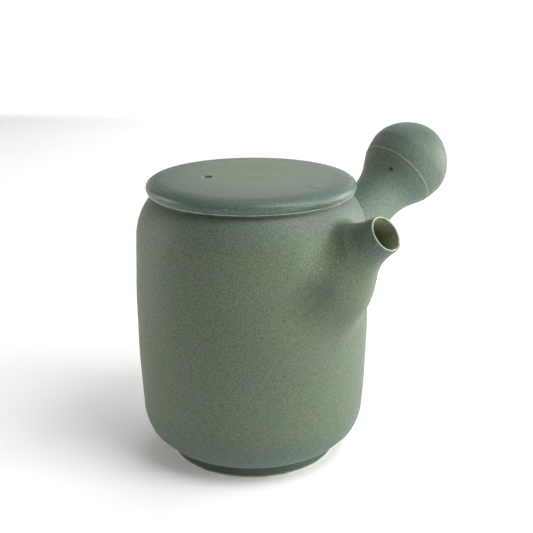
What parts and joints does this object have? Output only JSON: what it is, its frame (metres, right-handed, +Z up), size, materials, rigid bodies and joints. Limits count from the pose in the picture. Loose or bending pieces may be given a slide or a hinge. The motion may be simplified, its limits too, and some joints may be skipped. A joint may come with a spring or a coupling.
{
  "type": "side-handled sake server",
  "caption": "Side-handled stoneware sake server: barrel body on a turned foot, short thrown spout, hollow handle with a round bulb, loose disc lid with a steam hole.",
  "frame": {"origin": "centre of the foot ring, on the surface that the pot stands on", "axes": "+Z up along the pot's axis; +X is the spout's direction in plan; the handle leaves the wall 78.5 degrees towards +Y"},
  "size_m": [0.1056, 0.1384, 0.1163],
  "materials": {
    "celadon_glaze": "matte sage-green celadon glaze with fine speckle",
    "lid_glaze": "matte sage-green celadon glaze, blue-grey at the edge",
    "inner_glaze": "smooth olive-brown inner glaze"
  },
  "bodies": {
    "pot": {"vessel": "celadon_glaze", "spout": "celadon_glaze", "spout_luting_coil": "celadon_glaze", "spout_strainer": "inner_glaze", "handle_stem": "celadon_glaze", "handle_luting_coil": "celadon_glaze", "handle_bulb": "celadon_glaze"},
    "lid": {"lid_disc": "lid_glaze", "lid_flange": "lid_glaze"}
  },
  "joints": [
    {"name": "lid_lift", "type": "slide", "parent": "pot", "child": "lid", "axis": [0, 0, 1], "range_m": [0, 0.06]}
  ]
}
